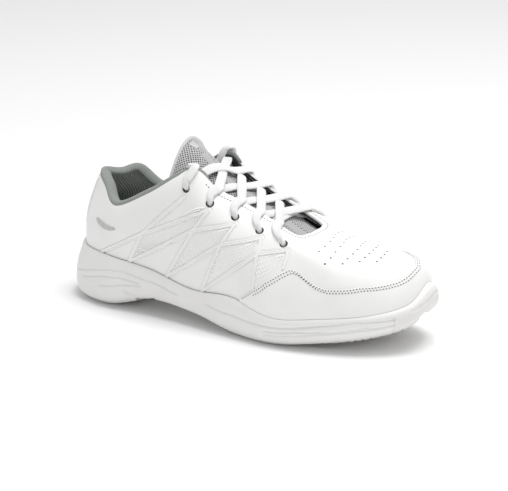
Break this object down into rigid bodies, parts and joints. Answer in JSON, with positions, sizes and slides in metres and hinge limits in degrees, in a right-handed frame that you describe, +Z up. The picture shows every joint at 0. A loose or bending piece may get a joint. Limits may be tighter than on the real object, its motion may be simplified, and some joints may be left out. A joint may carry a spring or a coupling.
{
  "type": "cheer shoe",
  "caption": "Low-cut right cheer shoe with white leather upper, welded lattice flanks, flat lace, mesh tongue, padded knit collar and sculpted light sole.",
  "frame": {"origin": "centre of the bounding box at ground level", "axes": "+X from heel to toe, +Y to the inner side of the foot, +Z up"},
  "size_m": [0.2828, 0.0996, 0.1245],
  "materials": {
    "leather": "smooth white coated leather, stitched and perforated",
    "film": "thin welded white film, satin",
    "foam": "moulded white foam, matt",
    "rubber": "off-white non-marking rubber, matt",
    "knit": "grey diagonal knit",
    "mesh": "light grey spacer mesh",
    "lace": "flat woven white lace",
    "board": "pressed fibre board",
    "shank": "dark moulded plastic",
    "mark": "light grey printed film"
  },
  "bodies": {
    "shoe": {"outsole_forefoot": "rubber", "outsole_heel": "rubber", "midsole": "foam", "toe_bumper": "rubber", "insole_board": "board", "shank": "shank", "vamp": "leather", "quarter_lateral": "leather", "quarter_medial": "leather", "mudguard": "leather", "heel_tab": "leather", "cage_lateral": "film", "cage_medial": "film", "heel_mark_lateral": "mark", "heel_mark_medial": "mark", "heel_counter": "board", "toe_puff": "board", "eyestay_lateral": "board", "eyestay_medial": "board", "vamp_lining": "mesh", "quarter_lining_lateral": "mesh", "quarter_lining_medial": "mesh", "collar_padding": "foam", "collar_lining": "knit", "collar_edge": "knit", "tongue_lower_face": "mesh", "tongue_lower_lining": "knit", "lace": "lace", "aglet_lateral": "film", "aglet_medial": "film"},
    "tongue_end": {"tongue_upper_face": "mesh", "tongue_upper_padding": "foam", "tongue_upper_lining": "knit", "tongue_tab": "film"},
    "sockliner": {"sockliner": "mesh"}
  },
  "joints": [
    {"name": "tongue_fold", "type": "hinge", "parent": "shoe", "child": "tongue_end", "pos_m": [-0.0328, 0, 0.1105], "axis": [0, 1, 0], "range_deg": [-5, 28], "stiffness_Nm_per_rad": 0.02},
    {"name": "sockliner_lift", "type": "hinge", "parent": "shoe", "child": "sockliner", "pos_m": [0.128, 0, 0.029], "axis": [0, 1, 0], "range_deg": [0, 5]}
  ]
}
